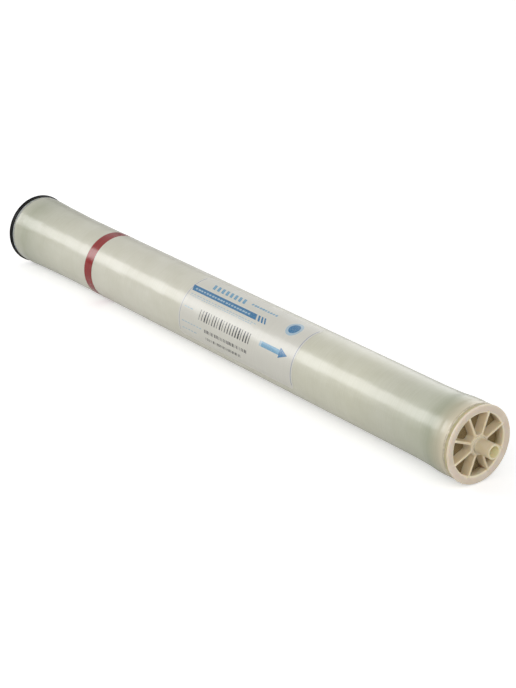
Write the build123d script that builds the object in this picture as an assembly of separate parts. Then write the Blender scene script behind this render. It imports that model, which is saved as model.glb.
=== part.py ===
from build123d import *
from math import cos, degrees, radians, sin
import os

# A spiral wound reverse osmosis element, all sizes in millimetres.
# The axis lies along X. Water flows from the feed end at -X to the brine end at +X, and +Z is up.
# Angles about the axis are counted from +Y towards +Z, in degrees.

# permeate tube
overall_length = 1016.0          # from tube end to tube end
tube_radius = 9.75
tube_wall = 2.25
tube_stub = 25.3                 # how far the tube stands out of each end cap
seat_depth = 0.225               # each end is turned down this much, as the seat of a coupler
seat_clearance = 0.3             # from the seat to the adhesive at the hub
tube_end_chamfer = 0.6
perforation_radius = 1.5
perforation_pitch = 60.0
perforation_margin = 60.0        # unperforated length inside each end of the scroll

# wound scroll
carrier_sleeve_wall = 0.3
membrane_thickness = 0.15
feed_spacer_thickness = 0.80
permeate_carrier_thickness = 0.25
leaf_slack = 0.03                # free space between one leaf and the next
leaf_count = 4
quarter_turns = 24               # quarter turns that each leaf makes
scroll_clearance = 0.05          # between the tube, the sleeve, the leaves and the tape
winding_tape_thickness = 0.15
scroll_end_gap = 0.3             # between the scroll and the shoulder of each end cap

# skirt of both end caps, round the end of the scroll
skirt_length = 15.0
skirt_wall = 2.3
skirt_clearance = 0.25
skirt_taper = 5.0
skirt_tip_drop = 1.3

# rim, hub and vanes
rim_height = 2.43                # from the skirt to the outside of the rim
rim_lip_width = 2.7
rim_front_radius = 1.4
rim_back_radius = 0.6
rim_face_width = 5.6
rim_bevel_width = 4.6
rim_bevel_depth = 1.8
flange_groove_depth = 1.2
flange_groove_width = 5.0
hub_wall = 3.4
hub_clearance = 0.07
hub_boss_height = 1.6            # how far the middle of the hub stands out in front of the vanes
hub_boss_inset = 1.0
hub_boss_edge = 0.8
vane_count = 8
vane_thickness = 3.0
vane_setback = 0.3               # the front of the vanes lies this far below the rim
vane_start_angle = 23.9
vane_sweep = 1.5                 # how far a vane turns on its way from the rim to the hub
vane_root_radius = 3.0           # where the vanes meet the hub and the rim
vane_edge_radius = 0.9
vane_overlap = 1.5               # how far a vane runs into the hub and the rim
collar_inset = 0.4               # from the flat of the rim to the collar that the vanes end in

# brine seal and its groove in the feed end cap
nose_width = 3.8                 # the nose that holds the seal at the front
nose_drop = 0.37                 # from the outside of the skirt down to the nose
nose_chamfer = 0.8
seal_groove_width = 6.7
seal_groove_depth = 3.0
seal_groove_wall = 3.1           # between the groove and the shoulder over the scroll
backing_width = 2.2              # the collar behind the seal
backing_height = 1.63
seal_lip_height = 6.7            # from the floor of the groove
seal_lip_width = 1.4
seal_lip_edge = 0.5
seal_heel_height = 6.1
seal_heel_edge = 0.8
seal_waist_height = 5.5
seal_clearance = 0.12
seal_leg = 1.5
seal_base = 2.4

# glass fibre wrap
wrap_wall = 1.65
wrap_end_wall = 1.8              # over the skirts
wrap_fit = 0.12
wrap_end_slope = 0.03            # how steeply it rises again at its very end
skirt_tip_gap = 1.6              # from the tip of a skirt to where the wrap narrows
brine_taper_length = 57.0
brine_taper_rise = 0.35          # the share of the swell that is reached half way up
brine_swell_length = 20.0        # from the crest of the swell to the end of the wrap
brine_waist = 0.5                # how far the wrap draws in behind the crest
feed_taper_length = 82.0
feed_taper_rise = 0.5
feed_swell_length = 9.0
feed_waist = 0.15

# resin beads at the ends of the wrap, and adhesive round the tube at the hubs
bead_width = 2.4
bead_height = 1.93
bead_edge = 0.8
adhesive_height = 1.2
adhesive_reach = 1.5
adhesive_hollow = 0.42           # where its face passes between its edges, and 0.5 would be straight
joint_gap = 0.03                 # between a bead, film or adhesive and what it sits on

# marking band and label film
band_center = -275.0
band_width = 18.0
film_thickness = 0.12
label_start = -56.0
label_length = 244.5
label_first_angle = 80.5         # the upper edge
label_span = 127.0
label_corner_radius = 8.0

# sizes that follow from those above, along the axis
half_length = overall_length / 2
face_x = half_length - tube_stub                    # front face of an end cap
vane_face_x = face_x - vane_setback
bevel_x = face_x - rim_bevel_depth
hub_face_x = vane_face_x + hub_boss_height
seat_x = hub_face_x + adhesive_height + seat_clearance
nose_x = face_x - nose_width
seal_groove_x = nose_x - seal_groove_width
shoulder_x = seal_groove_x - seal_groove_wall       # both caps are as deep as the seal needs
feed_bead_x = seal_groove_x - backing_width         # outer side of each bead
lip_x = face_x - rim_lip_width
brine_bead_x = lip_x - flange_groove_width
skirt_end_x = shoulder_x - skirt_length
scroll_half = shoulder_x - scroll_end_gap

# and away from the axis
seat_radius = tube_radius - seat_depth
tube_bore_radius = tube_radius - tube_wall
hub_bore_radius = tube_radius + hub_clearance
hub_radius = hub_bore_radius + hub_wall
hub_boss_radius = hub_radius - hub_boss_inset
leaf_thickness = 2 * membrane_thickness + feed_spacer_thickness + permeate_carrier_thickness
leaf_pitch = leaf_thickness + leaf_slack
sleeve_inner = tube_radius + scroll_clearance
sleeve_outer = sleeve_inner + carrier_sleeve_wall
leaf_first_radius = sleeve_outer + scroll_clearance + leaf_pitch / 2
scroll_radius = leaf_first_radius + quarter_turns * leaf_pitch + leaf_pitch / 2 - leaf_slack
tape_inner = scroll_radius + scroll_clearance
tape_outer = tape_inner + winding_tape_thickness
wrap_bore = tape_outer + wrap_fit
wrap_radius = wrap_bore + wrap_wall
skirt_inner = tape_outer + skirt_clearance
skirt_outer = skirt_inner + skirt_wall
over_skirt = skirt_outer + wrap_fit
wrap_crest = over_skirt + wrap_end_wall
rim_radius = skirt_outer + rim_height
flange_groove_radius = rim_radius - flange_groove_depth
rim_face_inner = rim_radius - rim_face_width
cap_opening_radius = rim_face_inner - rim_bevel_width
collar_radius = rim_face_inner - collar_inset
nose_radius = skirt_outer - nose_drop
seal_groove_radius = nose_radius - seal_groove_depth
bead_radius = skirt_outer + bead_height


def ring(*profile):
    """A ring turned about the X axis from its corners (x, radius)."""
    return revolve(make_face(Polyline(*profile, close=True)), axis=Axis.X)


def tube_between(x0, x1, inner, outer):
    return ring((x0, inner), (x1, inner), (x1, outer), (x0, outer))


def circles_at(part, x, radius):
    """The round edges of a turned part at x with this radius."""
    edges = part.edges().filter_by(GeomType.CIRCLE)
    return edges.filter_by(lambda e: abs(e.arc_center.X - x) < 0.01 and abs(e.radius - radius) < 0.01)


def across_axis(x, sketch):
    """Puts a sketch drawn in (y, z) on the plane across the axis at x."""
    return Plane(origin=(x, 0, 0), x_dir=(0, 1, 0), z_dir=(1, 0, 0)) * sketch


def on_feed_end(part):
    """The same piece turned half round +Z, for the other end."""
    return Rot(0, 0, 180) * part


def make_permeate_tube():
    end = [
        (seat_x, tube_radius),
        (seat_x, seat_radius),
        (half_length - tube_end_chamfer, seat_radius),
        (half_length, seat_radius - tube_end_chamfer),
        (half_length, tube_bore_radius),
    ]
    tube = ring(*end, *[(-x, radius) for x, radius in reversed(end)])
    count = int(2 * (scroll_half - perforation_margin) / perforation_pitch) + 1
    for k in range(count):
        x = (k - (count - 1) / 2) * perforation_pitch
        tube -= Pos(x, 0, 0) * Rot(90 * (k % 2), 0, 0) * Cylinder(perforation_radius, 4 * tube_radius)
    return tube


def make_membrane_leaf(index):
    """A folded membrane with its spacer and carrier, wound up. Its quarter turns are arcs about the
    corners of a small square, so that each leaf keeps the same distance from the next."""
    h = leaf_pitch / 2
    corners = [(-h, h), (-h, -h), (h, -h), (h, h)]
    inner, outer = [], []
    for k in range(quarter_turns):
        quadrant = (index + k) % 4
        radius = leaf_first_radius + k * leaf_pitch
        inner.append(CenterArc(corners[quadrant], radius, 90 * quadrant, 90))
        outer.append(CenterArc(corners[quadrant], radius + leaf_thickness, 90 * quadrant, 90))
    fold = Line(inner[0] @ 0, outer[0] @ 0)
    tail = Line(inner[-1] @ 1, outer[-1] @ 1)
    section = make_face([*inner, *outer, fold, tail])
    return extrude(across_axis(-scroll_half, section), 2 * scroll_half)


def draw_vane(outer_radius):
    """Outline of one vane from inside the hub to outer_radius, bent towards the hub."""
    inner_radius = hub_radius - vane_overlap
    one_side, other_side = [], []
    for k in range(3):
        inward = 1 - k / 2
        radius = outer_radius + (inner_radius - outer_radius) * inward
        angle = radians(vane_start_angle + vane_sweep * inward ** 2)
        y, z = radius * cos(angle), radius * sin(angle)
        across = vane_thickness / 2 * sin(angle), vane_thickness / 2 * cos(angle)
        one_side.append((y - across[0], z + across[1]))
        other_side.append((y + across[0], z - across[1]))
    return make_face([
        ThreePointArc(*one_side),
        Line(one_side[2], other_side[2]),
        ThreePointArc(*other_side),
        Line(one_side[0], other_side[0]),
    ])


def add_hub_and_vanes(cap_ring):
    """The hub and the vanes are one plan with a collar, which lies inside the rim. They are rounded where
    they meet and along their front edges, and the middle of the hub stands out as a boss."""
    collar = Circle(rim_radius) - Circle(collar_radius)
    vane = draw_vane(collar_radius + vane_overlap)
    plan = Circle(hub_radius) + collar + [Rot(0, 0, 360 / vane_count * k) * vane for k in range(vane_count)]
    roots = plan.vertices().filter_by(lambda v: min(
        abs(v.center().length - hub_radius), abs(v.center().length - collar_radius)) < 0.01)
    plan = fillet(roots, vane_root_radius)
    web = extrude(across_axis(shoulder_x, plan), vane_face_x - shoulder_x)
    gaps = web.faces().sort_by(Axis.X)[-1].inner_wires()
    web = fillet([edge for gap in gaps for edge in gap.edges()], vane_edge_radius)
    web &= tube_between(shoulder_x, hub_face_x, hub_bore_radius, collar_radius + collar_inset / 4)
    boss = tube_between(shoulder_x, hub_face_x, hub_bore_radius, hub_boss_radius)
    return cap_ring + web + fillet(circles_at(boss, hub_face_x, hub_boss_radius), hub_boss_edge)


def make_cap_ring(*outside):
    """The turned ring of a cap, with the skirt that takes the end of the scroll.
    Its outside runs from the front face back to the skirt."""
    return ring(
        *outside,
        (skirt_end_x + skirt_taper, skirt_outer),
        (skirt_end_x, skirt_outer - skirt_tip_drop),
        (skirt_end_x, skirt_inner),
        (shoulder_x, skirt_inner),
        (shoulder_x, cap_opening_radius),
        (bevel_x, cap_opening_radius),
        (face_x, rim_face_inner),
    )


def make_brine_end_cap():
    cap_ring = make_cap_ring(
        (face_x, rim_radius),
        (lip_x, rim_radius),
        (lip_x, flange_groove_radius),
        (brine_bead_x, flange_groove_radius),
        (brine_bead_x, skirt_outer),
    )
    cap_ring = fillet(circles_at(cap_ring, face_x, rim_radius), rim_front_radius)
    cap_ring = fillet(circles_at(cap_ring, lip_x, rim_radius), rim_back_radius)
    return add_hub_and_vanes(cap_ring)


def make_feed_end_cap():
    cap_ring = make_cap_ring(
        (face_x, nose_radius - nose_chamfer),
        (face_x - nose_chamfer, nose_radius),
        (nose_x, nose_radius),
        (nose_x, seal_groove_radius),
        (seal_groove_x, seal_groove_radius),
        (seal_groove_x, skirt_outer + backing_height),
        (feed_bead_x, skirt_outer + backing_height),
        (feed_bead_x, skirt_outer),
    )
    return on_feed_end(add_hub_and_vanes(cap_ring))


def make_brine_seal():
    """A cup seal: one leg lies in the groove, the other flares to the lip, and it opens to the feed."""
    front = nose_x - seal_clearance
    back = seal_groove_x + seal_clearance
    floor = back + seal_base
    inner = seal_groove_radius + seal_clearance
    lip = seal_groove_radius + seal_lip_height
    heel = seal_groove_radius + seal_heel_height
    waist = seal_groove_radius + seal_waist_height
    return on_feed_end(ring(
        (back, inner),
        (front, inner),
        (front, inner + seal_leg),
        (floor, inner + seal_leg),
        (floor, waist - seal_leg),
        (front, lip - seal_leg),
        (front, lip - seal_lip_edge),
        (front - seal_lip_edge, lip),
        (front - seal_lip_edge - seal_lip_width, lip),
        (floor + seal_leg, waist),
        (floor, heel),
        (back + seal_heel_edge, heel),
        (back, heel - seal_heel_edge),
    ))


def wrap_end(side, bead_x, taper_length, rise, swell_length, waist):
    """Outer and inner line of one end of the wrap. It swells over the skirt and draws in again."""
    end_x = bead_x - bead_width
    crest_x = end_x - swell_length
    outer = [
        (side * (crest_x - taper_length), wrap_radius),
        (side * (crest_x - taper_length / 2), wrap_radius + rise * (wrap_crest - wrap_radius)),
        (side * crest_x, wrap_crest),
        (side * (end_x - swell_length / 2), wrap_crest - waist),
        (side * end_x, wrap_crest - waist / 2),
    ]
    narrow_x = skirt_end_x - skirt_tip_gap
    inner = [
        (side * end_x, over_skirt),
        (side * (skirt_end_x + skirt_taper), over_skirt),
        (side * narrow_x, over_skirt - skirt_tip_drop),
        (side * (narrow_x - skirt_taper), wrap_bore),
    ]
    return outer, inner


def make_fiberglass_wrap():
    brine_outer, brine_inner = wrap_end(
        1, brine_bead_x, brine_taper_length, brine_taper_rise, brine_swell_length, brine_waist)
    feed_outer, feed_inner = wrap_end(
        -1, feed_bead_x, feed_taper_length, feed_taper_rise, feed_swell_length, feed_waist)
    profile = make_face([
        Spline(*brine_outer, tangents=[(1, 0), (1, wrap_end_slope)]),
        Polyline(brine_outer[-1], *brine_inner, *reversed(feed_inner), feed_outer[-1]),
        Spline(*feed_outer, tangents=[(-1, 0), (-1, wrap_end_slope)]),
        Line(feed_outer[0], brine_outer[0]),
    ])
    return revolve(profile, axis=Axis.X)


def make_resin_bead(outer_x):
    """The bead between the end of the wrap and the flange of the cap."""
    x0, x1 = outer_x - bead_width + joint_gap, outer_x - joint_gap
    inner = skirt_outer + joint_gap
    return ring(
        (x0, inner),
        (x1, inner),
        (x1, bead_radius - bead_edge),
        (x1 - bead_edge, bead_radius),
        (x0 + bead_edge, bead_radius),
        (x0, bead_radius - bead_edge),
    )


def make_hub_adhesive():
    """A fillet of adhesive in the corner between the tube and the front of the hub."""
    x0 = hub_face_x + joint_gap
    inner = tube_radius + joint_gap
    return ring(
        (x0, inner),
        (x0, inner + adhesive_reach),
        (x0 + adhesive_height * adhesive_hollow, inner + adhesive_reach * adhesive_hollow),
        (x0 + adhesive_height, inner),
    )


def make_red_band():
    inner = wrap_radius + joint_gap
    x0, x1 = band_center - band_width / 2, band_center + band_width / 2
    return tube_between(x0, x1, inner, inner + film_thickness)


def make_label_film():
    """A film glued round part of the wrap. Its corners are rounded by tools that cut outwards."""
    inner = wrap_radius + joint_gap
    outer = inner + film_thickness
    label_end = label_start + label_length
    section = make_face(Polyline(
        (label_start, inner), (label_end, inner), (label_end, outer), (label_start, outer), close=True))
    film = Rot(label_first_angle, 0, 0) * revolve(section, axis=Axis.X, revolution_arc=label_span)
    inset = degrees(label_corner_radius / inner)
    corner = Rectangle(2 * label_corner_radius, 2 * label_corner_radius, align=(Align.MIN, Align.MIN))
    corner -= Circle(label_corner_radius)
    for x, angle, turn in (
        (label_end - label_corner_radius, label_first_angle + inset, 0),
        (label_end - label_corner_radius, label_first_angle + label_span - inset, -90),
        (label_start + label_corner_radius, label_first_angle + label_span - inset, 180),
        (label_start + label_corner_radius, label_first_angle + inset, 90),
    ):
        direction = (0, cos(radians(angle)), sin(radians(angle)))
        facing_out = Plane(origin=(x, 0, 0), x_dir=(1, 0, 0), z_dir=direction)
        film -= extrude(facing_out * Rot(0, 0, turn) * corner, 2 * outer)
    return film


parts = {
    "permeate_tube": make_permeate_tube(),
    "permeate_carrier_sleeve": tube_between(-scroll_half, scroll_half, sleeve_inner, sleeve_outer),
    "winding_tape": tube_between(-scroll_half, scroll_half, tape_inner, tape_outer),
    "fiberglass_wrap": make_fiberglass_wrap(),
    "brine_end_cap": make_brine_end_cap(),
    "feed_end_cap": make_feed_end_cap(),
    "brine_seal": make_brine_seal(),
    "brine_end_resin_bead": make_resin_bead(brine_bead_x),
    "feed_end_resin_bead": on_feed_end(make_resin_bead(feed_bead_x)),
    "brine_hub_adhesive": make_hub_adhesive(),
    "feed_hub_adhesive": on_feed_end(make_hub_adhesive()),
    "red_band": make_red_band(),
    "label_film": make_label_film(),
}
for leaf in range(leaf_count):
    parts[f"membrane_leaf_{leaf + 1}"] = make_membrane_leaf(leaf)

os.makedirs("parts", exist_ok=True)
for name, part in parts.items():
    export_step(part, f"parts/{name}.step")
    print(f"{name}: volume {part.volume:.1f} mm3")
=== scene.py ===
from math import cos, pi, radians, sin

import bmesh
import bpy
import numpy as np
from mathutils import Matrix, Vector


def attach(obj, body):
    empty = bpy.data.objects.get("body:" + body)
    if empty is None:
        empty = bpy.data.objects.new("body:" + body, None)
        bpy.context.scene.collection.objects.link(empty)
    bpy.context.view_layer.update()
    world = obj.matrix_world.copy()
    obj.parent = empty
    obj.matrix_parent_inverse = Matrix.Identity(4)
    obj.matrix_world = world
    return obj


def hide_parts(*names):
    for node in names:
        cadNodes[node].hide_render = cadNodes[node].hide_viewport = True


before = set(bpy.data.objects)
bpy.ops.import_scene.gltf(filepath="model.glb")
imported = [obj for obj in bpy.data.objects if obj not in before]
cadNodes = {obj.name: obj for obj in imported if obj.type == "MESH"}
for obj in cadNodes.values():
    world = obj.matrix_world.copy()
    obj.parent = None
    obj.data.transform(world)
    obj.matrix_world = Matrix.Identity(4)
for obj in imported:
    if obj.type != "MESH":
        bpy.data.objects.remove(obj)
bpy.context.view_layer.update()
mm = 0.001  # sizes are in millimetres unless a note says otherwise, and the element lies along X


# shades a mesh smooth, apart from edges that bend more than sharpAngle, and puts it in the scene
def addPiece(name, mesh, sharpAngle):
    mesh.polygons.foreach_set("use_smooth", np.ones(len(mesh.polygons), dtype=bool))
    mesh.set_sharp_from_angle(angle=radians(sharpAngle))
    piece = bpy.data.objects.new(name, mesh)
    bpy.context.scene.collection.objects.link(piece)
    return piece


# an array of points, times one millimetre, with an array of faces
def addMesh(name, points, faces, sharpAngle=32):
    mesh = bpy.data.meshes.new(name)
    mesh.from_pydata((points.reshape(-1, 3) * mm).tolist(), [], faces.tolist())
    return addPiece(name, mesh, sharpAngle)


# turns every face outwards, after points closer together than mergeDistance (in metres) are joined
def faceOutwards(mesh, mergeDistance=0.0):
    skin = bmesh.new()
    skin.from_mesh(mesh)
    if mergeDistance > 0:
        bmesh.ops.remove_doubles(skin, verts=skin.verts, dist=mergeDistance)
    bmesh.ops.recalc_face_normals(skin, faces=skin.faces)
    skin.to_mesh(mesh)
    skin.free()


# Point (i, j) of a grid has the number i * columns + j. Each face joins it to the next row and the next
# column, and the columns close into a ring.
def gridFaces(rows, columns, closeRows=True):
    lastRow = rows if closeRows else rows - 1
    i, j = np.meshgrid(np.arange(lastRow), np.arange(columns), indexing="ij")
    nextI, nextJ = (i + 1) % rows, (j + 1) % columns
    corners = [i * columns + j, i * columns + nextJ, nextI * columns + nextJ, nextI * columns + j]
    return np.stack(corners, axis=-1).reshape(-1, 4)


# A profile carried round the axis at count equal angles: y = radius * cos(angle), z = radius * sin(angle).
# x and radius may each vary round the axis too, as arrays of (profile points, count).
def turnedGrid(x, radius, count):
    angle = np.linspace(0, 2 * pi, count, endpoint=False)
    x, radius = np.broadcast_arrays(x, radius, np.zeros(count))[:2]
    return np.stack([x, radius * np.cos(angle), radius * np.sin(angle)], axis=-1)


# A closed ring of (x, radius) points turned round the axis. It runs towards +X outside and back inside, so
# that its faces look outwards.
def turned(name, profile, count, sharpAngle=32):
    profile = np.array(profile, dtype=float)
    points = turnedGrid(profile[:, :1], profile[:, 1:], count)
    return addMesh(name, points, gridFaces(len(profile), count), sharpAngle)


# Each corner is (x, radius, size of its rounding). A rounding is a quadratic curve of five points past the
# corner: (1 - t)^2 * first + 2 t (1 - t) * corner + t^2 * last, with t from 0 to 1.
def rounded(corners):
    corners = np.array(corners, dtype=float)
    t = np.linspace(0, 1, 5)[:, None]
    points = []
    for k, (x, radius, size) in enumerate(corners):
        here = np.array([x, radius])
        if size == 0:
            points.append(here)
            continue
        before, after = corners[k - 1, :2] - here, corners[(k + 1) % len(corners), :2] - here
        first = here + before / np.linalg.norm(before) * size
        last = here + after / np.linalg.norm(after) * size
        points.extend((1 - t) ** 2 * first + 2 * t * (1 - t) * here + t ** 2 * last)
    return np.array(points)


def finish(piece, slot, material, *replaced):
    piece.data.materials.clear()
    piece.data.materials.append(material)
    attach(piece, "root")
    if replaced:
        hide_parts(*replaced)


# sockets are set to a value, or linked where the value is another node's socket
def setSockets(tree, inputs, values):
    for key, value in values.items():
        if isinstance(value, bpy.types.NodeSocket):
            tree.links.new(value, inputs[key])
        else:
            inputs[key].default_value = value


def addNode(tree, kind, sockets=None, **settings):
    node = tree.nodes.new("ShaderNode" + kind)
    for key, value in settings.items():
        setattr(node, key, value)
    setSockets(tree, node.inputs, sockets or {})
    return node


def calc(tree, operation, *values):
    return addNode(tree, "Math", dict(enumerate(values)), operation=operation).outputs[0]


# sRGB levels from 0 to 255, turned into the linear values that sockets take
def screenColour(colour):
    level = np.array(colour, dtype=float) / 255
    return tuple(np.where(level <= 0.04045, level / 12.92, ((level + 0.055) / 1.055) ** 2.4).tolist())


# stops are (position, red, green, blue), with colours as they look on a screen
def ramp(tree, value, *stops, interpolation="LINEAR"):
    node = addNode(tree, "ValToRGB", {"Fac": value})
    node.color_ramp.interpolation = interpolation
    elements = node.color_ramp.elements
    while len(elements) < len(stops):
        elements.new(0.5)
    for element, (position, *colour) in zip(elements, stops):
        element.position = position
        element.color = (*screenColour(colour), 1)
    return node.outputs["Color"]


# the first colour at a factor of 0 and the second at 1, each a socket or screen levels
def mixColours(tree, factor, first, second, blend="MIX"):
    node = addNode(tree, "Mix", data_type="RGBA", blend_type=blend)
    first, second = [
        colour if isinstance(colour, bpy.types.NodeSocket) else (*screenColour(colour), 1)
        for colour in (first, second)]
    setSockets(tree, node.inputs, {0: factor, 6: first, 7: second})
    return node.outputs[2]


def objectPosition(tree):
    return addNode(tree, "TexCoord").outputs["Object"]


# the place of a point, in metres and radians: radius = sqrt(y^2 + z^2) and angle = arctan2(z, y)
def aroundAxis(tree):
    position = objectPosition(tree)
    x, y, z = addNode(tree, "SeparateXYZ", {0: position}).outputs
    squares = calc(tree, "ADD", calc(tree, "MULTIPLY", y, y), calc(tree, "MULTIPLY", z, z))
    return {
        "position": position,
        "x": x,
        "radius": calc(tree, "SQRT", squares),
        "angle": calc(tree, "ARCTAN2", z, y),
    }


def noise(tree, vector, scale, detail=3.0, roughness=0.5):
    values = {"Vector": vector, "Scale": scale, "Detail": detail, "Roughness": roughness}
    return addNode(tree, "TexNoise", values).outputs["Fac"]


# toLow at low, toHigh at high, a straight line between them and level past them
def spread(tree, value, low, high, toLow=0.0, toHigh=1.0):
    values = {"Value": value, "From Min": low, "From Max": high, "To Min": toLow, "To Max": toHigh}
    return addNode(tree, "MapRange", values, clamp=True).outputs["Result"]


# 1 between two soft edges and 0 outside them; an edge is (where it starts, where it is full), in millimetres
def within(tree, value, firstEdge, lastEdge):
    first = spread(tree, value, firstEdge[0] * mm, firstEdge[1] * mm)
    last = spread(tree, value, lastEdge[0] * mm, lastEdge[1] * mm)
    return calc(tree, "MULTIPLY", first, last)


def bump(tree, height, distance, normal=None):
    values = {"Height": height, "Distance": distance * mm, "Strength": 1.0}
    if normal is not None:
        values["Normal"] = normal
    return addNode(tree, "Bump", values).outputs["Normal"]


def newMaterial(name):
    material = bpy.data.materials.new(name)
    material.use_nodes = True
    return material, material.node_tree, material.node_tree.nodes["Principled BSDF"]


wrap = {
    "feedEnd": -467.6,
    "brineEnd": 472.6,
    "radius": 46.59,
    # outside radius from the body to the end, as (x, radius)
    "brineShape": [
        (392, 46.59), (404, 46.8), (418, 47.12), (428, 47.5), (436, 48.1), (441, 48.6), (446, 49.05),
        (451, 49.22), (456, 49.3), (459, 49.2), (461.5, 48.88), (463.5, 48.86), (466, 49.08),
        (468.5, 49.06), (470.5, 48.92), (472.6, 48.98)],
    "feedShape": [
        (-467.6, 49.1), (-463, 49.05), (-458, 49.15), (-453, 49.1), (-446, 48.78), (-438, 48.42),
        (-428, 48.05), (-415, 47.75), (-400, 47.4), (-386, 47.05), (-372, 46.75), (-360, 46.59)],
    "inside": [
        (472.6, 47.49), (459.1, 47.49), (452.5, 46.19), (447.5, 44.94),
        (-447.5, 44.94), (-452.5, 46.19), (-459.1, 47.49), (-467.6, 47.49)],
    "blurStep": 0.5, "blurReach": 5,  # the outline is blurred over this many steps to each side
    "stations": 520,
    "around": 144,
}
wrapLook = {
    # how often the pattern changes in a metre along the element, and the size of the circle that it lies on
    "lines": (900.0, 0.9),
    "lumps": (28.0, 1.5),
    "lineHeight": 0.05,
    "lumpHeight": 0.8,
    "lineRange": (0.4, 0.62), "lineTint": (238, 238, 228),
    "lumpRange": (0.35, 0.65), "lumpTint": (232, 231, 222),
    "tintShare": 0.3,
    "roughness": 0.24, "ior": 1.5,
    # colour along the element, as (share of the way from x = -500 to 500 mm, red, green, blue). It is partly
    # the wrap's own tone, such as cream over the cap skirts, and partly painted shade and light that make up
    # for how unevenly the lamps light it along its length
    "alongColour": [
        (0.033, 188, 188, 172), (0.045, 182, 183, 166), (0.055, 174, 176, 158), (0.09, 192, 192, 176),
        (0.15, 206, 205, 190), (0.28, 213, 211, 197), (0.5, 214, 212, 198), (0.8, 208, 207, 189),
        (0.86, 199, 199, 183), (0.93, 187, 189, 171), (0.946, 170, 173, 152), (0.962, 188, 183, 160),
        (0.972, 210, 200, 176)],
}


# Resin over wound glass. Both heights are noise at (x * perMetre, size * sin(angle), size * cos(angle)),
# which is drawn out round the axis. The broad one is the resin's unevenness. The fine one, laid on it, is the
# lines of the glass.
def wrapSurface(tree):
    place = aroundAxis(tree)

    def onCircle(perMetre, size):
        return addNode(tree, "CombineXYZ", {
            "X": calc(tree, "MULTIPLY", place["x"], perMetre),
            "Y": calc(tree, "MULTIPLY", calc(tree, "SINE", place["angle"]), size),
            "Z": calc(tree, "MULTIPLY", calc(tree, "COSINE", place["angle"]), size),
        }).outputs[0]

    lumps = noise(tree, onCircle(*wrapLook["lumps"]), 1.0)
    lines = noise(tree, onCircle(*wrapLook["lines"]), 1.0, 4.0, 0.65)
    lumpNormal = bump(tree, lumps, wrapLook["lumpHeight"])
    normal = bump(tree, lines, wrapLook["lineHeight"], lumpNormal)
    return {**place, "lumps": lumps, "lines": lines, "normal": normal}


# The outline is straight runs between the shape's points, blurred with a bell of weights. Its stations lie
# at middle + half * sin(share * 90 degrees), with share from -1 to 1, so that they crowd towards both ends.
def makeWrap():
    reach = wrap["blurReach"]
    fineX = np.arange(wrap["feedEnd"] - 20, wrap["brineEnd"] + 20, wrap["blurStep"])
    shape = np.array(wrap["feedShape"] + wrap["brineShape"])
    fineRadius = np.interp(fineX, shape[:, 0], shape[:, 1])
    bell = np.hanning(2 * reach + 1)
    blurred = np.convolve(np.pad(fineRadius, reach, mode="edge"), bell / bell.sum(), mode="valid")
    share = np.linspace(-1, 1, wrap["stations"])
    middle = (wrap["feedEnd"] + wrap["brineEnd"]) / 2
    half = (wrap["brineEnd"] - wrap["feedEnd"]) / 2
    x = middle + half * np.sin(share * pi / 2)
    outside = np.stack([x, np.interp(x, fineX, blurred)], axis=-1)
    return turned("woundWrap", np.concatenate([outside, wrap["inside"]]), wrap["around"])


# its colour changes along the element, partly as painted light and shade, and is tinted a little on the
# lumps and along the lines
def wrapMaterial():
    material, tree, shader = newMaterial("glass fibre wrap")
    surface = wrapSurface(tree)
    along = ramp(tree, spread(tree, surface["x"], -0.5, 0.5), *wrapLook["alongColour"])
    onLumps = spread(tree, surface["lumps"], *wrapLook["lumpRange"], 0.0, wrapLook["tintShare"])
    clouds = mixColours(tree, onLumps, along, wrapLook["lumpTint"], "MULTIPLY")
    onLines = spread(tree, surface["lines"], *wrapLook["lineRange"], 0.0, wrapLook["tintShare"])
    setSockets(tree, shader.inputs, {
        "Base Color": mixColours(tree, onLines, clouds, wrapLook["lineTint"], "MULTIPLY"),
        "Roughness": wrapLook["roughness"],
        "IOR": wrapLook["ior"],
        "Normal": surface["normal"],
    })
    return material


finish(makeWrap(), "glass_fibre_wrap", wrapMaterial(), "fiberglass_wrap")
print("wrap done")

label = {
    "start": -56.0, "end": 188.5,
    "from": -9.5, "to": 117.5,  # degrees from the top towards the side with the label
    "cornerRadius": 8.0,
    "cornerRows": 10, "middleRows": 84,
    "lift": 0.03, "thickness": 0.12, "inkThickness": 0.03,
    "film": (211, 209, 199), "filmLines": (198, 196, 184), "filmLineShare": 0.35, "filmRoughness": 0.28,
    "darkBlue": (36, 110, 156), "midBlue": (96, 152, 184), "paleBlue": (164, 188, 202),
    "black": (34, 36, 40), "edge": (158, 162, 176),
    "worn": (225, 228, 226), "wornPerMetre": 900.0, "wornRange": (0.5, 0.75), "wornShare": 0.3,
    "inkRoughness": 0.25,
}
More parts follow.
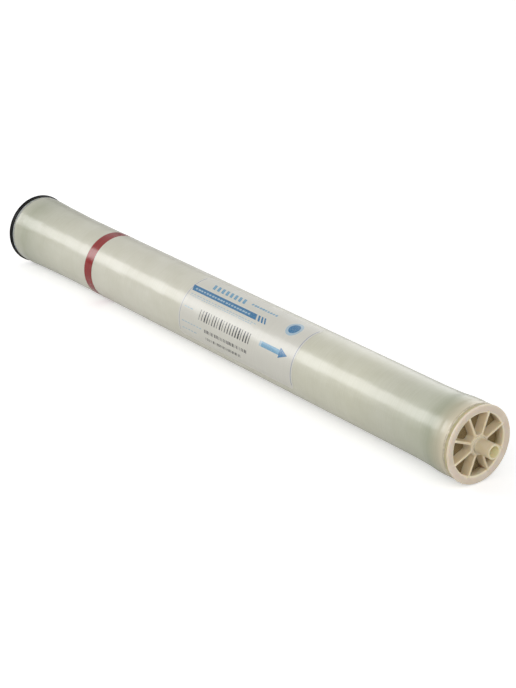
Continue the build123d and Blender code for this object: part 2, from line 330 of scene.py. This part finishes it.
# places are in millimetres along the element and degrees from the top
labelPrint = {
    "heading": (-55.0, 83.0, 24.5, 35.0, 5.0),  # start, end, from, to, slant
    "ticks": [(86.0, 90.0, 24.5, 35.0, 6.0), (92.5, 96.0, 24.5, 35.0, 6.5), (98.5, 101.5, 24.5, 35.0, 7.0)],
    "stripes": {
        "first": -27.0, "last": 38.0, "pitch": 9.2, "width": 5.2,
        "from": 6.0, "to": 17.5, "slant": 5.0},
    "dot": {"x": 154.0, "angle": 18.5, "radius": 8.5, "halo": 12.5, "rows": 25, "leastHalfWidth": 0.02},
    "arrow": {
        "tail": 116.5, "shaft": 120.8, "neck": 157.0, "tip": 173.3, "from": 60.5, "to": 69.0,
        "middle": 65.0, "halfHead": 8.5, "leastWidth": 0.3, "rows": 13},
    # rows of bars: start, end, from, to, pitch, seed, and the least and the most of the pitch that is ink
    "paleRows": [
        (-47.0, 95.0, 40.2, 41.6, 6.5, 2, 0.55, 0.85), (-47.0, 88.0, 43.4, 44.6, 5.0, 3, 0.55, 0.85),
        (-47.0, -29.0, 63.2, 64.8, 6.5, 4, 0.55, 0.85), (-47.0, -4.0, 87.7, 89.3, 6.5, 5, 0.55, 0.85),
        (-47.0, -19.0, 100.2, 101.8, 6.5, 6, 0.55, 0.85)],
    "rowInHeading": (-46.0, 72.0, 28.6, 31.6, 6.0, 12, 0.55, 0.85),
    "topRow": (57.0, 108.0, 8.0, 12.0, 5.5, 8, 0.55, 0.85),
    "blackRows": [
        (-12.0, 100.0, 58.0, 75.5, 5.6, 3, 0.147, 0.546), (3.0, 94.0, 86.5, 92.0, 3.2, 7, 0.175, 0.65),
        (5.0, 79.0, 100.0, 105.0, 3.2, 11, 0.175, 0.65)],
    "edgeLines": [(-53.8, -52.9, -1.0, 109.0), (184.9, 186.2, -1.0, 109.0)],
}


# a point at this angle from the top: y = -radius * sin(angle) and z = radius * cos(angle)
def onWrap(x, degreesRound, height):
    angle = np.radians(degreesRound)
    radius = wrap["radius"] + height
    return np.stack([x, -radius * np.sin(angle), radius * np.cos(angle)], axis=-1)


# Each ribbon is two sides of (x, angle) points, laid on the wrap and given a thickness. It is a closed skin:
# four corners at each row, and a cap at both ends.
def addRibbons(name, ribbons, low, high):
    allPoints, allFaces, start = [], [], 0
    for sideA, sideB in ribbons:
        rows = len(sideA)
        corners = [
            onWrap(*sideA.T, low), onWrap(*sideA.T, high),
            onWrap(*sideB.T, high), onWrap(*sideB.T, low)]
        allPoints.append(np.stack(corners, axis=1).reshape(-1, 3))
        ends = np.array([[0, 1, 2, 3], [4 * rows - 1, 4 * rows - 2, 4 * rows - 3, 4 * rows - 4]])
        allFaces.append(np.concatenate([gridFaces(rows, 4, closeRows=False), ends]) + start)
        start += 4 * rows
    piece = addMesh(name, np.concatenate(allPoints), np.concatenate(allFaces), sharpAngle=40)
    faceOutwards(piece.data)
    return piece


# A block of print, with a row of points about every 1.5 degrees. Both sides shift along x by slant times the
# share of the angle passed.
def strip(start, end, angleFrom, angleTo, slant=0.0):
    angle = np.linspace(angleFrom, angleTo, int((angleTo - angleFrom) / 1.5) + 2)
    shift = slant * (angle - angleFrom) / (angleTo - angleFrom)
    return np.stack([start + shift, angle], axis=-1), np.stack([end + shift, angle], axis=-1)


# A circle laid on the wrap: half its width is radius * sin(turn), at the distance radius * cos(turn) round
# the wrap from its middle.
def disc(x, angle, radius):
    turn = np.linspace(0, pi, labelPrint["dot"]["rows"])
    across = np.degrees(radius * np.cos(turn) / wrap["radius"])
    half = np.maximum(radius * np.sin(turn), labelPrint["dot"]["leastHalfWidth"])
    return np.stack([x - half, angle - across], axis=-1), np.stack([x + half, angle - across], axis=-1)


# bar k starts at start + k * pitch, and its width is pitch times a random share from narrow to wide
def barRow(start, end, angleFrom, angleTo, pitch, seed, narrow, wide):
    left = np.arange(start, end, pitch)
    width = pitch * np.random.default_rng(seed).uniform(narrow, wide, len(left))
    return [strip(a, a + w, angleFrom, angleTo) for a, w in zip(left, width)]


# A triangle with one side at the neck. The other is at base + (tip - base) * share, where the base is the
# least width past the neck and share = 1 - distance from the middle / halfHead.
def arrowHead(arrow):
    middle, half, base = arrow["middle"], arrow["halfHead"], arrow["neck"] + arrow["leastWidth"]
    angle = np.linspace(middle - half, middle + half, arrow["rows"])
    neck = np.full_like(angle, arrow["neck"])
    front = base + (arrow["tip"] - base) * (1 - np.abs(angle - middle) / half)
    return np.stack([neck, angle], axis=-1), np.stack([front, angle], axis=-1)


# A rectangle with rounded corners. At a corner the side is pulled in by r * (1 - sin(turn)), at the distance
# r * (1 - cos(turn)) from the edge.
def makeFilm():
    r = label["cornerRadius"]
    arc = np.degrees(r / wrap["radius"])
    turn = np.linspace(0, pi / 2, label["cornerRows"])
    nearEdge = arc * (1 - np.cos(turn))
    inset = r * (1 - np.sin(turn))
    middle = np.linspace(label["from"] + arc, label["to"] - arc, label["middleRows"])[1:-1]
    angle = np.concatenate([label["from"] + nearEdge, middle, (label["to"] - nearEdge)[::-1]])
    pulledIn = np.concatenate([inset, np.zeros(len(middle)), inset[::-1]])
    left = np.stack([label["start"] + pulledIn, angle], axis=-1)
    right = np.stack([label["end"] - pulledIn, angle], axis=-1)
    return addRibbons("labelFilm", [(left, right)], label["lift"], label["lift"] + label["thickness"])


# clear film: the wrap's lines show through it as a slightly darker colour
def filmMaterial():
    material, tree, shader = newMaterial("label film")
    surface = wrapSurface(tree)
    onLines = spread(tree, surface["lines"], *wrapLook["lineRange"], 0.0, label["filmLineShare"])
    setSockets(tree, shader.inputs, {
        "Base Color": mixColours(tree, onLines, label["film"], label["filmLines"]),
        "Roughness": label["filmRoughness"],
        "IOR": wrapLook["ior"],
        "Normal": surface["normal"],
    })
    return material


# print is uneven: a fine noise lightens the ink here and there
def inkMaterial(name, colour):
    material, tree, shader = newMaterial(name)
    surface = wrapSurface(tree)
    wear = noise(tree, surface["position"], label["wornPerMetre"])
    worn = spread(tree, wear, *label["wornRange"], 0.0, label["wornShare"])
    setSockets(tree, shader.inputs, {
        "Base Color": mixColours(tree, worn, colour, label["worn"]),
        "Roughness": label["inkRoughness"],
        "Normal": surface["normal"],
    })
    return material


def makePrint():
    top = label["lift"] + label["thickness"]
    stripes, dot, arrow = labelPrint["stripes"], labelPrint["dot"], labelPrint["arrow"]
    halo = disc(dot["x"], dot["angle"], dot["halo"])
    paleRows = [bar for row in labelPrint["paleRows"] for bar in barRow(*row)]
    # the arrow's tail reaches 0.2 mm into its shaft, and the shaft 1 mm into the head
    tail = strip(arrow["tail"], arrow["shaft"] + 0.2, arrow["from"], arrow["to"])
    shaft = strip(arrow["shaft"], arrow["neck"] + 1.0, arrow["from"], arrow["to"])
    headingAndTicks = [strip(*block) for block in [labelPrint["heading"], *labelPrint["ticks"]]]
    slanted = [
        strip(x, x + stripes["width"], stripes["from"], stripes["to"], stripes["slant"])
        for x in np.arange(stripes["first"], stripes["last"], stripes["pitch"])]
    # where two inks overlap, one lies about a hundredth of a millimetre over the other
    for name, ink, raised, ribbons in (
        ("labelPrintPale", "paleBlue", -0.01, [halo, *paleRows, tail]),
        ("labelPrintInBar", "paleBlue", 0.012, barRow(*labelPrint["rowInHeading"])),
        ("labelPrintMid", "midBlue", 0.0, [shaft, *barRow(*labelPrint["topRow"])]),
        ("labelPrintBlue", "darkBlue", 0.002, [
            *headingAndTicks, disc(dot["x"], dot["angle"], dot["radius"]), arrowHead(arrow)]),
        ("labelPrintStripes", "midBlue", 0.001, slanted),
        ("labelPrintBlack", "black", 0.0, [bar for row in labelPrint["blackRows"] for bar in barRow(*row)]),
        ("labelEdgeLines", "edge", 0.0, [strip(*line) for line in labelPrint["edgeLines"]]),
    ):
        low = top + raised
        piece = addRibbons(name, ribbons, low, low + label["inkThickness"])
        finish(piece, "label_film", inkMaterial(name, label[ink]))


band = {
    "start": -284.0, "end": -266.0,
    "lift": 0.03, "thickness": 0.12,
    "colour": (150, 26, 22), "shade": (120, 16, 15), "lineRange": (0.38, 0.62),
    "roughness": 0.2,
}


# a rectangle of width by thickness, turned round the axis just above the wrap
def makeBand():
    low = wrap["radius"] + band["lift"]
    high = low + band["thickness"]
    profile = [(band["start"], high), (band["end"], high), (band["end"], low), (band["start"], low)]
    return turned("markingBand", profile, wrap["around"])


# red tape that follows the lines under it: its colour goes darker along the troughs
def bandMaterial():
    material, tree, shader = newMaterial("red tape")
    surface = wrapSurface(tree)
    onLines = spread(tree, surface["lines"], *band["lineRange"])
    setSockets(tree, shader.inputs, {
        "Base Color": mixColours(tree, onLines, band["shade"], band["colour"]),
        "Roughness": band["roughness"],
        "Normal": surface["normal"],
    })
    return material


finish(makeFilm(), "label_film", filmMaterial(), "label_film")
makePrint()
finish(makeBand(), "red_film", bandMaterial(), "red_band")
print("label and band done")

plastic = {
    "cloudsPerMetre": 60.0, "cloudRange": (0.35, 0.65), "cloudTint": (236, 230, 214), "cloudShare": 0.35,
    "glow": 0.5, "glowReach": (0.006, 0.0045, 0.0026),  # in metres
    "grainsPerMetre": 1400.0,
}
tube = {
    "halfLength": 508.0, "radius": 9.75, "seatRadius": 9.525, "seatStart": 485.5, "seatSlope": 0.2,
    "bore": 7.5, "chamfer": 0.6, "edge": 0.2, "boreEdge": 0.25, "around": 64,
    "holeRadius": 1.5, "holePitch": 60.0, "holes": 14,
    "drillReach": 15.0, "drillSides": 20,
    "colour": (220, 206, 178), "roughness": 0.32, "grain": 0.01,
    # the bore's colour is painted light, paler than the plastic, for the light that bounces about inside it
    "boreLightColour": (236, 227, 192), "boreWithin": (8.4, 7.9),
}


# Drill k is a cylinder across the tube at x = (k - (holes - 1) / 2) * pitch, turned by a quarter from the
# one before it. Its points are r * cos(turn) along the tube and r * sin(turn) across it, at both ends of
# its reach.
def makeDrills():
    sides = tube["drillSides"]
    turn = np.linspace(0, 2 * pi, sides, endpoint=False)
    along, across = tube["holeRadius"] * np.cos(turn), tube["holeRadius"] * np.sin(turn)
    points, faces = [], []
    for k in range(tube["holes"]):
        station = (k - (tube["holes"] - 1) / 2) * tube["holePitch"]
        for reach in (-tube["drillReach"], tube["drillReach"]):
            away = np.full(sides, reach)
            y, z = (away, across) if k % 2 else (across, away)
            points.append(np.stack([station + along, y, z], axis=-1))
        start = 2 * sides * k
        faces.extend((gridFaces(2, sides, closeRows=False) + start).tolist())
        faces.append(list(range(start + sides - 1, start - 1, -1)))
        faces.append(list(range(start + sides, start + 2 * sides)))
    mesh = bpy.data.meshes.new("drills")
    mesh.from_pydata((np.concatenate(points) * mm).tolist(), [], faces)
    faceOutwards(mesh)
    drills = bpy.data.objects.new("drills", mesh)
    bpy.context.scene.collection.objects.link(drills)
    return drills


# the outline of one end and its mirror image, with rounded corners, turned round the axis and drilled
def makeTube():
    end = [
        (tube["seatStart"], tube["radius"], 0),
        (tube["seatStart"] + tube["seatSlope"], tube["seatRadius"], 0),
        (tube["halfLength"] - tube["chamfer"], tube["seatRadius"], tube["edge"]),
        (tube["halfLength"], tube["seatRadius"] - tube["chamfer"], tube["edge"]),
        (tube["halfLength"], tube["bore"], tube["boreEdge"]),
    ]
    otherEnd = [(-x, radius, size) for x, radius, size in reversed(end)]
    piece = turned("permeateTube", rounded(otherEnd + end), tube["around"])
    drills = makeDrills()
    cut = piece.modifiers.new("holes", "BOOLEAN")
    cut.operation, cut.solver, cut.object = "DIFFERENCE", "EXACT", drills
    bpy.context.view_layer.update()
    drilled = bpy.data.meshes.new_from_object(piece.evaluated_get(bpy.context.evaluated_depsgraph_get()))
    piece.modifiers.clear()
    piece.data = drilled
    bpy.data.objects.remove(drills)
    return piece


# Moulded plastic that lets a little light through. Its height is fine noise, and broad noise tints it.
def plasticMaterial(name, look):
    material, tree, shader = newMaterial(name)
    place = aroundAxis(tree)
    cloud = noise(tree, place["position"], plastic["cloudsPerMetre"])
    clouded = spread(tree, cloud, *plastic["cloudRange"], 0.0, plastic["cloudShare"])
    tint = mixColours(tree, clouded, look["colour"], plastic["cloudTint"], "MULTIPLY")
    grain = noise(tree, place["position"], plastic["grainsPerMetre"], 2.0)
    setSockets(tree, shader.inputs, {
        "Base Color": tint,
        "Roughness": look["roughness"],
        "Subsurface Weight": plastic["glow"],
        "Subsurface Radius": plastic["glowReach"],
        "Subsurface Scale": 1.0,
        "Normal": bump(tree, grain, look["grain"]),
    })
    return material, tree, shader, place, tint


# painted light: paler inside the bore, for the light that bounces about in it
def tubeMaterial():
    material, tree, shader, place, tint = plasticMaterial("tube plastic", tube)
    start, full = tube["boreWithin"]
    inBore = spread(tree, place["radius"], start * mm, full * mm)
    setSockets(tree, shader.inputs, {"Base Color": mixColours(tree, inBore, tint, tube["boreLightColour"])})
    return material


finish(makeTube(), "tube_plastic", tubeMaterial(), "permeate_tube")
print("tube done")

# A place is one edge or two. Each is (where it starts, where it is full), along the axis or away from it.
capLook = {
    "colour": (225, 212, 196), "roughness": 0.34, "grain": 0.02,
    "mergeDistance": 0.002, "sharpAngle": 28,
    # painted light: yellower where light passes between the vanes and the hub
    "vanes": (224, 209, 180), "vanesWithin": (39.2, 38.4),
    # painted light: paler on the thin wall inside the rim, which lets light through
    "rimWall": (240, 228, 200), "rimWallAcross": ((38.5, 39.4), (41.8, 40.8)),
    # resin left in patches in the groove between the rim and the wrap, with painted shade in the groove: it
    # is darker and yellower there
    "resinAndShade": (208, 196, 150), "patchesPerMetre": 220.0, "patchRange": (0.3, 0.6), "leastResinAndShade": 0.55,
    "resinAndShadeAlong": ((474.7, 475.3), (480.3, 479.7)), "resinAndShadeAcross": ((47.5, 47.9), (49.8, 49.2)),
    # the outside of the far skirt, beside the seal
    "greyed": (178, 180, 172), "greyedAlong": (-400.0, -460.0), "greyedAcross": (46.2, 47.0),
}


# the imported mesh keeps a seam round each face, so the copy is joined along them before it is shaded smooth
def smoothCopy(node, name):
    mesh = cadNodes[node].data.copy()
    mesh.name = name
    faceOutwards(mesh, capLook["mergeDistance"] * mm)
    return addPiece(name, mesh, capLook["sharpAngle"])


# Four places get colours mixed over the plastic: painted light on the vanes and on the inner wall of the
# rim, resin with painted shade in the groove, and the grey far skirt. Each is mixed over the one before it
# by how far a point lies past the edges of the place.
def capMaterial():
    material, tree, shader, place, tint = plasticMaterial("cap plastic", capLook)
    x, radius = place["x"], place["radius"]

    def past(value, edge):
        return spread(tree, value, edge[0] * mm, edge[1] * mm)

    patchNoise = noise(tree, place["position"], capLook["patchesPerMetre"])
    patches = spread(tree, patchNoise, *capLook["patchRange"], capLook["leastResinAndShade"])
    inGroove = calc(tree, "MULTIPLY", within(tree, x, *capLook["resinAndShadeAlong"]),
                    within(tree, radius, *capLook["resinAndShadeAcross"]))
    onFarSkirt = calc(tree, "MULTIPLY", past(x, capLook["greyedAlong"]),
                      past(radius, capLook["greyedAcross"]))
    colour = mixColours(tree, past(radius, capLook["vanesWithin"]), tint, capLook["vanes"])
    colour = mixColours(tree, within(tree, radius, *capLook["rimWallAcross"]), colour, capLook["rimWall"])
    colour = mixColours(tree, calc(tree, "MULTIPLY", inGroove, patches), colour, capLook["resinAndShade"])
    colour = mixColours(tree, onFarSkirt, colour, capLook["greyed"])
    setSockets(tree, shader.inputs, {"Base Color": colour})
    return material


capPlastic = capMaterial()
finish(smoothCopy("brine_end_cap", "brineEndCap"), "cap_plastic", capPlastic, "brine_end_cap")
finish(smoothCopy("feed_end_cap", "feedEndCap"), "cap_plastic", capPlastic, "feed_end_cap")
print("caps done")

seal = {
    "front": -478.78, "back": -472.32,
    "inner": 44.12, "lip": 50.7, "heel": 50.1, "waist": 49.5,
    "leg": 1.5, "base": 2.4,
    "lipEdge": 0.35, "lipSlope": 0.5, "lipWidth": 1.5, "heelEdge": 0.8,
    "around": 144,
    "colour": (4, 4, 4), "worn": (9, 9, 9), "wornRange": (0.45, 0.7), "wornShare": 0.5,
    "grainsPerMetre": 900.0, "grain": 0.02, "gloss": 0.12,
    "patchesPerMetre": 80.0, "patchRange": (0.3, 0.7), "roughness": (0.26, 0.4),
}


# a U section with two legs towards the end of the element, its corners rounded, turned round the axis
def makeSeal():
    front, back, leg = seal["front"], seal["back"], seal["leg"]
    inner, lip, heel, waist = seal["inner"], seal["lip"], seal["heel"], seal["waist"]
    floor = back - seal["base"]
    profile = rounded([
        (front, lip - leg, 0.2),
        (front, lip - seal["lipEdge"], 0.3),
        (front + seal["lipSlope"], lip, 0.35),
        (front + seal["lipWidth"], lip, 0.4),
        (floor - leg, waist, 0.5),
        (floor, heel, 0.5),
        (back - seal["heelEdge"], heel, 0.5),
        (back, heel - seal["heelEdge"], 0.4),
        (back, inner, 0.2),
        (front, inner, 0.2),
        (front, inner + leg, 0.2),
        (floor, inner + leg, 0.5),
        (floor, waist - leg, 0.5),
    ])
    return turned("brineSeal", profile, seal["around"], sharpAngle=40)


# Black rubber. Fine noise is its height and makes its tops paler, and broad noise lifts its roughness.
def rubberMaterial():
    material, tree, shader = newMaterial("seal rubber")
    position = objectPosition(tree)
    grain = noise(tree, position, seal["grainsPerMetre"])
    worn = spread(tree, grain, *seal["wornRange"], 0.0, seal["wornShare"])
    patches = noise(tree, position, seal["patchesPerMetre"])
    setSockets(tree, shader.inputs, {
        "Base Color": mixColours(tree, worn, seal["colour"], seal["worn"]),
        "Roughness": spread(tree, patches, *seal["patchRange"], *seal["roughness"]),
        "Specular IOR Level": seal["gloss"],
        "Normal": bump(tree, grain, seal["grain"]),
    })
    return material


bead = {
    "brineOuter": 475.0, "feedOuter": -470.0, "width": 2.4, "gap": 0.03,
    "inner": 47.4, "radius": 49.3,
    "unevenness": 0.18, "waves": (3, 5, 8, 13, 21),
    # its section, as shares of the width and of the height
    "across": (0.0, 0.0, 0.1, 0.3, 0.5, 0.7, 0.9, 1.0, 1.0),
    "rise": (0.0, 0.62, 0.84, 0.97, 1.0, 0.97, 0.84, 0.62, 0.0),
    "around": 160,
    "colour": (216, 206, 180), "farColour": (184, 186, 176),
}
adhesive = {
    "start": 484.03, "inner": 9.78, "height": 1.2, "reach": 1.5,
    "hollow": 0.12,  # how far the middle of its curve keeps from the corner, and 0.5 would be straight
    "around": 64,
    "colour": (222, 206, 174),
}
resin = {
    "roughness": 0.2, "cloudsPerMetre": 150.0, "cloudRange": (0.35, 0.65), "thickShade": 0.82,
    "glow": 0.15, "glowReach": (0.003, 0.002, 0.001),  # in metres
    "lumpsPerMetre": 260.0, "lumpHeight": 0.2,
}


# A low mound of resin set by hand: radius = inner + rise * (height + wander). The wander is a sum of sines
# of 3 to 21 times the angle, with random sizes and starts. It moves only the upper part of the section.
def makeBead(name, outerX, side, seed):
    random = np.random.default_rng(seed)
    angle = np.linspace(0, 2 * pi, bead["around"], endpoint=False)
    wander = np.zeros(bead["around"])
    for waves in bead["waves"]:
        share = random.uniform(0.3, 1.0) / waves ** 0.5
        wander = wander + share * np.sin(waves * angle + random.uniform(0, 2 * pi))
    wander = wander / np.abs(wander).max() * bead["unevenness"]
    x0, x1 = outerX - side * (bead["width"] - bead["gap"]), outerX - side * bead["gap"]
    across, rise = np.array(bead["across"])[:, None], np.array(bead["rise"])[:, None]
    height = bead["radius"] - bead["inner"] - bead["unevenness"]
    x = x0 + across * (x1 - x0)
    radius = bead["inner"] + rise * (height + wander * (rise > 0.5))
    if side < 0:
        x, radius = x[::-1], radius[::-1]
    points, faces = turnedGrid(x, radius, bead["around"]), gridFaces(len(rise), bead["around"])
    return addMesh(name, points, faces, sharpAngle=50)


# A fillet in the corner between the hub and the tube, turned round the axis. Its face is a quadratic curve:
# x = start + height * (pull + t^2) and radius = inner + reach * ((1 - t)^2 + pull), where the pull is
# 2 t (1 - t) * hollow.
def makeAdhesive(name, side):
    t = np.linspace(0, 1, 7)[:-1]
    pull = 2 * t * (1 - t) * adhesive["hollow"]
    x = adhesive["start"] + adhesive["height"] * (pull + t ** 2)
    radius = adhesive["inner"] + adhesive["reach"] * ((1 - t) ** 2 + pull)
    end = adhesive["start"] + adhesive["height"]
    onTube = [[end, adhesive["inner"]], [adhesive["start"], adhesive["inner"]]]
    profile = np.concatenate([np.stack([x, radius], axis=-1), onTube])
    if side < 0:
        profile = profile[::-1] * (-1, 1)
    return turned(name, profile, adhesive["around"], sharpAngle=50)


# resin: noise makes its thick places darker, and finer noise is the height of its skin
def resinMaterial(name, colour):
    material, tree, shader = newMaterial(name)
    position = objectPosition(tree)
    thick = spread(tree, noise(tree, position, resin["cloudsPerMetre"]), *resin["cloudRange"])
    shade = tuple(level * resin["thickShade"] for level in colour)
    lumps = noise(tree, position, resin["lumpsPerMetre"], 2.0)
    setSockets(tree, shader.inputs, {
        "Base Color": mixColours(tree, thick, colour, shade),
        "Roughness": resin["roughness"],
        "Subsurface Weight": resin["glow"],
        "Subsurface Radius": resin["glowReach"],
        "Subsurface Scale": 1.0,
        "Normal": bump(tree, lumps, resin["lumpHeight"]),
    })
    return material


finish(makeSeal(), "seal_rubber", rubberMaterial(), "brine_seal")
beadResin = resinMaterial("bead resin", bead["colour"])
finish(makeBead("brineResinBead", bead["brineOuter"], 1, 5), "resin", beadResin, "brine_end_resin_bead")
farBeadResin = resinMaterial("far bead resin", bead["farColour"])
finish(makeBead("feedResinBead", bead["feedOuter"], -1, 6), "resin", farBeadResin, "feed_end_resin_bead")
hubResin = resinMaterial("hub adhesive", adhesive["colour"])
finish(makeAdhesive("brineHubAdhesive", 1), "resin", hubResin, "brine_hub_adhesive")
finish(makeAdhesive("feedHubAdhesive", -1), "resin", hubResin, "feed_hub_adhesive")
print("seal, beads and adhesive done")

scrollLook = {
    "leaves": 4,
    "pitch": 1.38,  # from one leaf to the next
    # a leaf's layers: the share of its thickness where each starts, and its colour. The colours are partly
    # the layers' own and partly painted shade, tan and brown though the membranes are near white, for the
    # shade deep behind the vanes
    "layers": [(0.0, 164, 146, 104), (0.12, 92, 72, 40), (0.66, 164, 146, 104), (0.8, 154, 136, 96)],
    "wobblesPerMetre": 500.0, "wobble": 0.15,
    "layerHeight": 0.1,
    "roughness": 0.7,
}
weaveLook = {"shade": 0.8, "shadeShare": 0.4, "threadHeight": 0.03}
carrierCloth = {"colour": (224, 222, 212), "roughness": 0.8, "threads": 9000.0}
windingTape = {"colour": (216, 212, 190), "roughness": 0.3, "threads": 2500.0}


# The cut ends of the leaves. The fraction of radius / pitch - angle / (360 degrees / leaves) says how far
# through one leaf a point is. Membrane, spacer, membrane and carrier follow each other.
def scrollMaterial():
    material, tree, shader = newMaterial("wound leaves")
    point = aroundAxis(tree)
    leavesOut = calc(tree, "DIVIDE", point["radius"], scrollLook["pitch"] * mm)
    turns = calc(tree, "DIVIDE", point["angle"], 2 * pi / scrollLook["leaves"])
    layer = calc(tree, "FRACT", calc(tree, "SUBTRACT", leavesOut, turns))
    wobble = noise(tree, point["position"], scrollLook["wobblesPerMetre"], 2.0)
    shift = calc(tree, "MULTIPLY", wobble, scrollLook["wobble"])
    through = calc(tree, "FRACT", calc(tree, "ADD", layer, shift))
    setSockets(tree, shader.inputs, {
        "Base Color": ramp(tree, through, *scrollLook["layers"], interpolation="CONSTANT"),
        "Roughness": scrollLook["roughness"],
        "Normal": bump(tree, through, scrollLook["layerHeight"]),
    })
    return material


# The film and the cloth beside the leaves. Their height is crossed threads, sin(threads * x) times
# sin(threads / 50 * angle), which are as close round the axis as along it at 20 mm from it.
def clothMaterial(name, cloth):
    material, tree, shader = newMaterial(name)
    place = aroundAxis(tree)
    alongThreads = calc(tree, "SINE", calc(tree, "MULTIPLY", place["x"], cloth["threads"]))
    roundThreads = calc(tree, "SINE", calc(tree, "MULTIPLY", place["angle"], cloth["threads"] / 50))
    weave = calc(tree, "MULTIPLY", alongThreads, roundThreads)
    shaded = spread(tree, weave, -1.0, 1.0, 0.0, weaveLook["shadeShare"])
    shade = tuple(level * weaveLook["shade"] for level in cloth["colour"])
    setSockets(tree, shader.inputs, {
        "Base Color": mixColours(tree, shaded, cloth["colour"], shade),
        "Roughness": cloth["roughness"],
        "Normal": bump(tree, weave, weaveLook["threadHeight"]),
    })
    return material


# a solid of the frame keeps its own mesh and takes a finish
def dress(node, material):
    solid = cadNodes[node]
    if len(solid.data.materials) == 0:
        solid.data.materials.append(material)
    for slot in solid.material_slots:
        slot.link = "OBJECT"
        slot.material = material


leafMaterial = scrollMaterial()
for number in range(1, scrollLook["leaves"] + 1):
    dress(f"membrane_leaf_{number}", leafMaterial)
dress("permeate_carrier_sleeve", clothMaterial("carrier cloth", carrierCloth))
dress("winding_tape", clothMaterial("winding tape", windingTape))
print("scroll done")

# the lamps and the camera have their places and sizes in metres
stage = {
    "floorHeight": -50.7, "floorReach": 12000.0,
    "floorColour": 0.84, "floorRoughness": 0.9, "floorGlow": 0.44,
    "worldStrength": 0.58,
    # What reflections see of the studio is dark towards -X, and on the other side brightest a little above
    # the horizon. A rise or a fall is (height where it starts, height where it ends, level at the start,
    # level at the end), with heights from -1 straight down to 1 straight up.
    "darkSide": (-0.765, -0.69), "darkRise": (0.05, 0.35, 0.15, 0.7),
    "brightRise": (-0.2, 0.25, 1.3, 2.6), "brightFall": (0.5, 0.74, 2.6, 1.0),
    # a soft lamp in front of the near end lights its face
    "fillPower": 2.7, "fillPlace": (1.2, -0.4, 0.6), "fillSize": (0.6, 0.6), "fillTarget": (0.48, 0.0, 0.0),
    # the softbox lies along the element, so that its reflection is a band of even width
    "keyPower": 61.0, "keyDistance": 2.4, "keyAlong": -2.68, "keyAngle": 36.6, "keySize": (2.7, 1.5),
    "cameraPlace": (2.1386, -1.6013, 1.0751), "cameraTarget": (0.05862, 0.0, -0.01146),
    "lens": 113.14, "sensorWidth": 36.0, "clipEnd": 100.0,
}


# One square at the height of the floor. The camera sees it a little brighter than it is lit, so that it runs
# into the white background.
def makeFloor():
    reach, height, level = stage["floorReach"], stage["floorHeight"], stage["floorColour"]
    corners = np.array([
        [-reach, -reach, height], [reach, -reach, height],
        [reach, reach, height], [-reach, reach, height]])
    floor = addMesh("floor", corners, np.array([[0, 1, 2, 3]]))
    material, tree, shader = newMaterial("floor")
    seen = addNode(tree, "LightPath").outputs["Is Camera Ray"]
    setSockets(tree, shader.inputs, {
        "Base Color": (level, level, level, 1),
        "Roughness": stage["floorRoughness"],
        "Specular IOR Level": 0.0,
        "Emission Color": (1, 1, 1, 1),
        "Emission Strength": calc(tree, "MULTIPLY", seen, stage["floorGlow"]),
    })
    floor.data.materials.append(material)


# the camera and glass see white, reflections see the studio, and what lights the scene is a little weaker
def makeWorld():
    world = bpy.data.worlds.new("studio")
    world.use_nodes = True
    tree = world.node_tree
    path = addNode(tree, "LightPath").outputs
    seen = calc(tree, "MINIMUM", calc(tree, "ADD", path["Is Camera Ray"], path["Is Transmission Ray"]), 1.0)
    direction = addNode(tree, "SeparateXYZ", {0: addNode(tree, "TexCoord").outputs["Generated"]}).outputs
    up = direction["Z"]
    dark = spread(tree, up, *stage["darkRise"])
    rise, fall = spread(tree, up, *stage["brightRise"]), spread(tree, up, *stage["brightFall"])
    bright = calc(tree, "MINIMUM", rise, fall)
    brightShare = spread(tree, direction["X"], *stage["darkSide"])
    added = calc(tree, "MULTIPLY", brightShare, calc(tree, "SUBTRACT", bright, dark))
    mirrored = calc(tree, "ADD", dark, added)
    level = stage["worldStrength"]
    plain = calc(tree, "ADD", level, calc(tree, "MULTIPLY", seen, 1.0 - level))
    glossy = calc(tree, "MULTIPLY", path["Is Glossy Ray"], calc(tree, "SUBTRACT", mirrored, level))
    setSockets(tree, tree.nodes["Background"].inputs, {
        "Color": (1, 1, 1, 1),
        "Strength": calc(tree, "ADD", plain, glossy),
    })
    bpy.context.scene.world = world


# puts a lamp or a camera at its place and turns it towards its target
def addAimed(name, data, place, target):
    holder = bpy.data.objects.new(name, data)
    holder.location = place
    bpy.context.scene.collection.objects.link(holder)
    holder.rotation_euler = (Vector(target) - holder.location).to_track_quat("-Z", "Y").to_euler()
    return holder


def addSoftLamp(name, power, size, place, target):
    lamp = bpy.data.lights.new(name, "AREA")
    lamp.energy = power
    lamp.shape = "RECTANGLE"
    lamp.size, lamp.size_y = size
    addAimed(name, lamp, place, target)


def makeLamps():
    along, distance, angle = stage["keyAlong"], stage["keyDistance"], radians(stage["keyAngle"])
    keyPlace = (along, -distance * cos(angle), distance * sin(angle))
    addSoftLamp("softbox", stage["keyPower"], stage["keySize"], keyPlace, (along, 0.0, 0.0))
    addSoftLamp("fill", stage["fillPower"], stage["fillSize"], stage["fillPlace"], stage["fillTarget"])


def makeCamera():
    camera = bpy.data.cameras.new("camera")
    camera.lens = stage["lens"]
    camera.sensor_width = stage["sensorWidth"]
    camera.clip_end = stage["clipEnd"]
    bpy.context.scene.camera = addAimed("camera", camera, stage["cameraPlace"], stage["cameraTarget"])


makeFloor()
makeWorld()
makeLamps()
makeCamera()
bpy.context.scene.view_settings.view_transform = "Standard"
print("stage done")
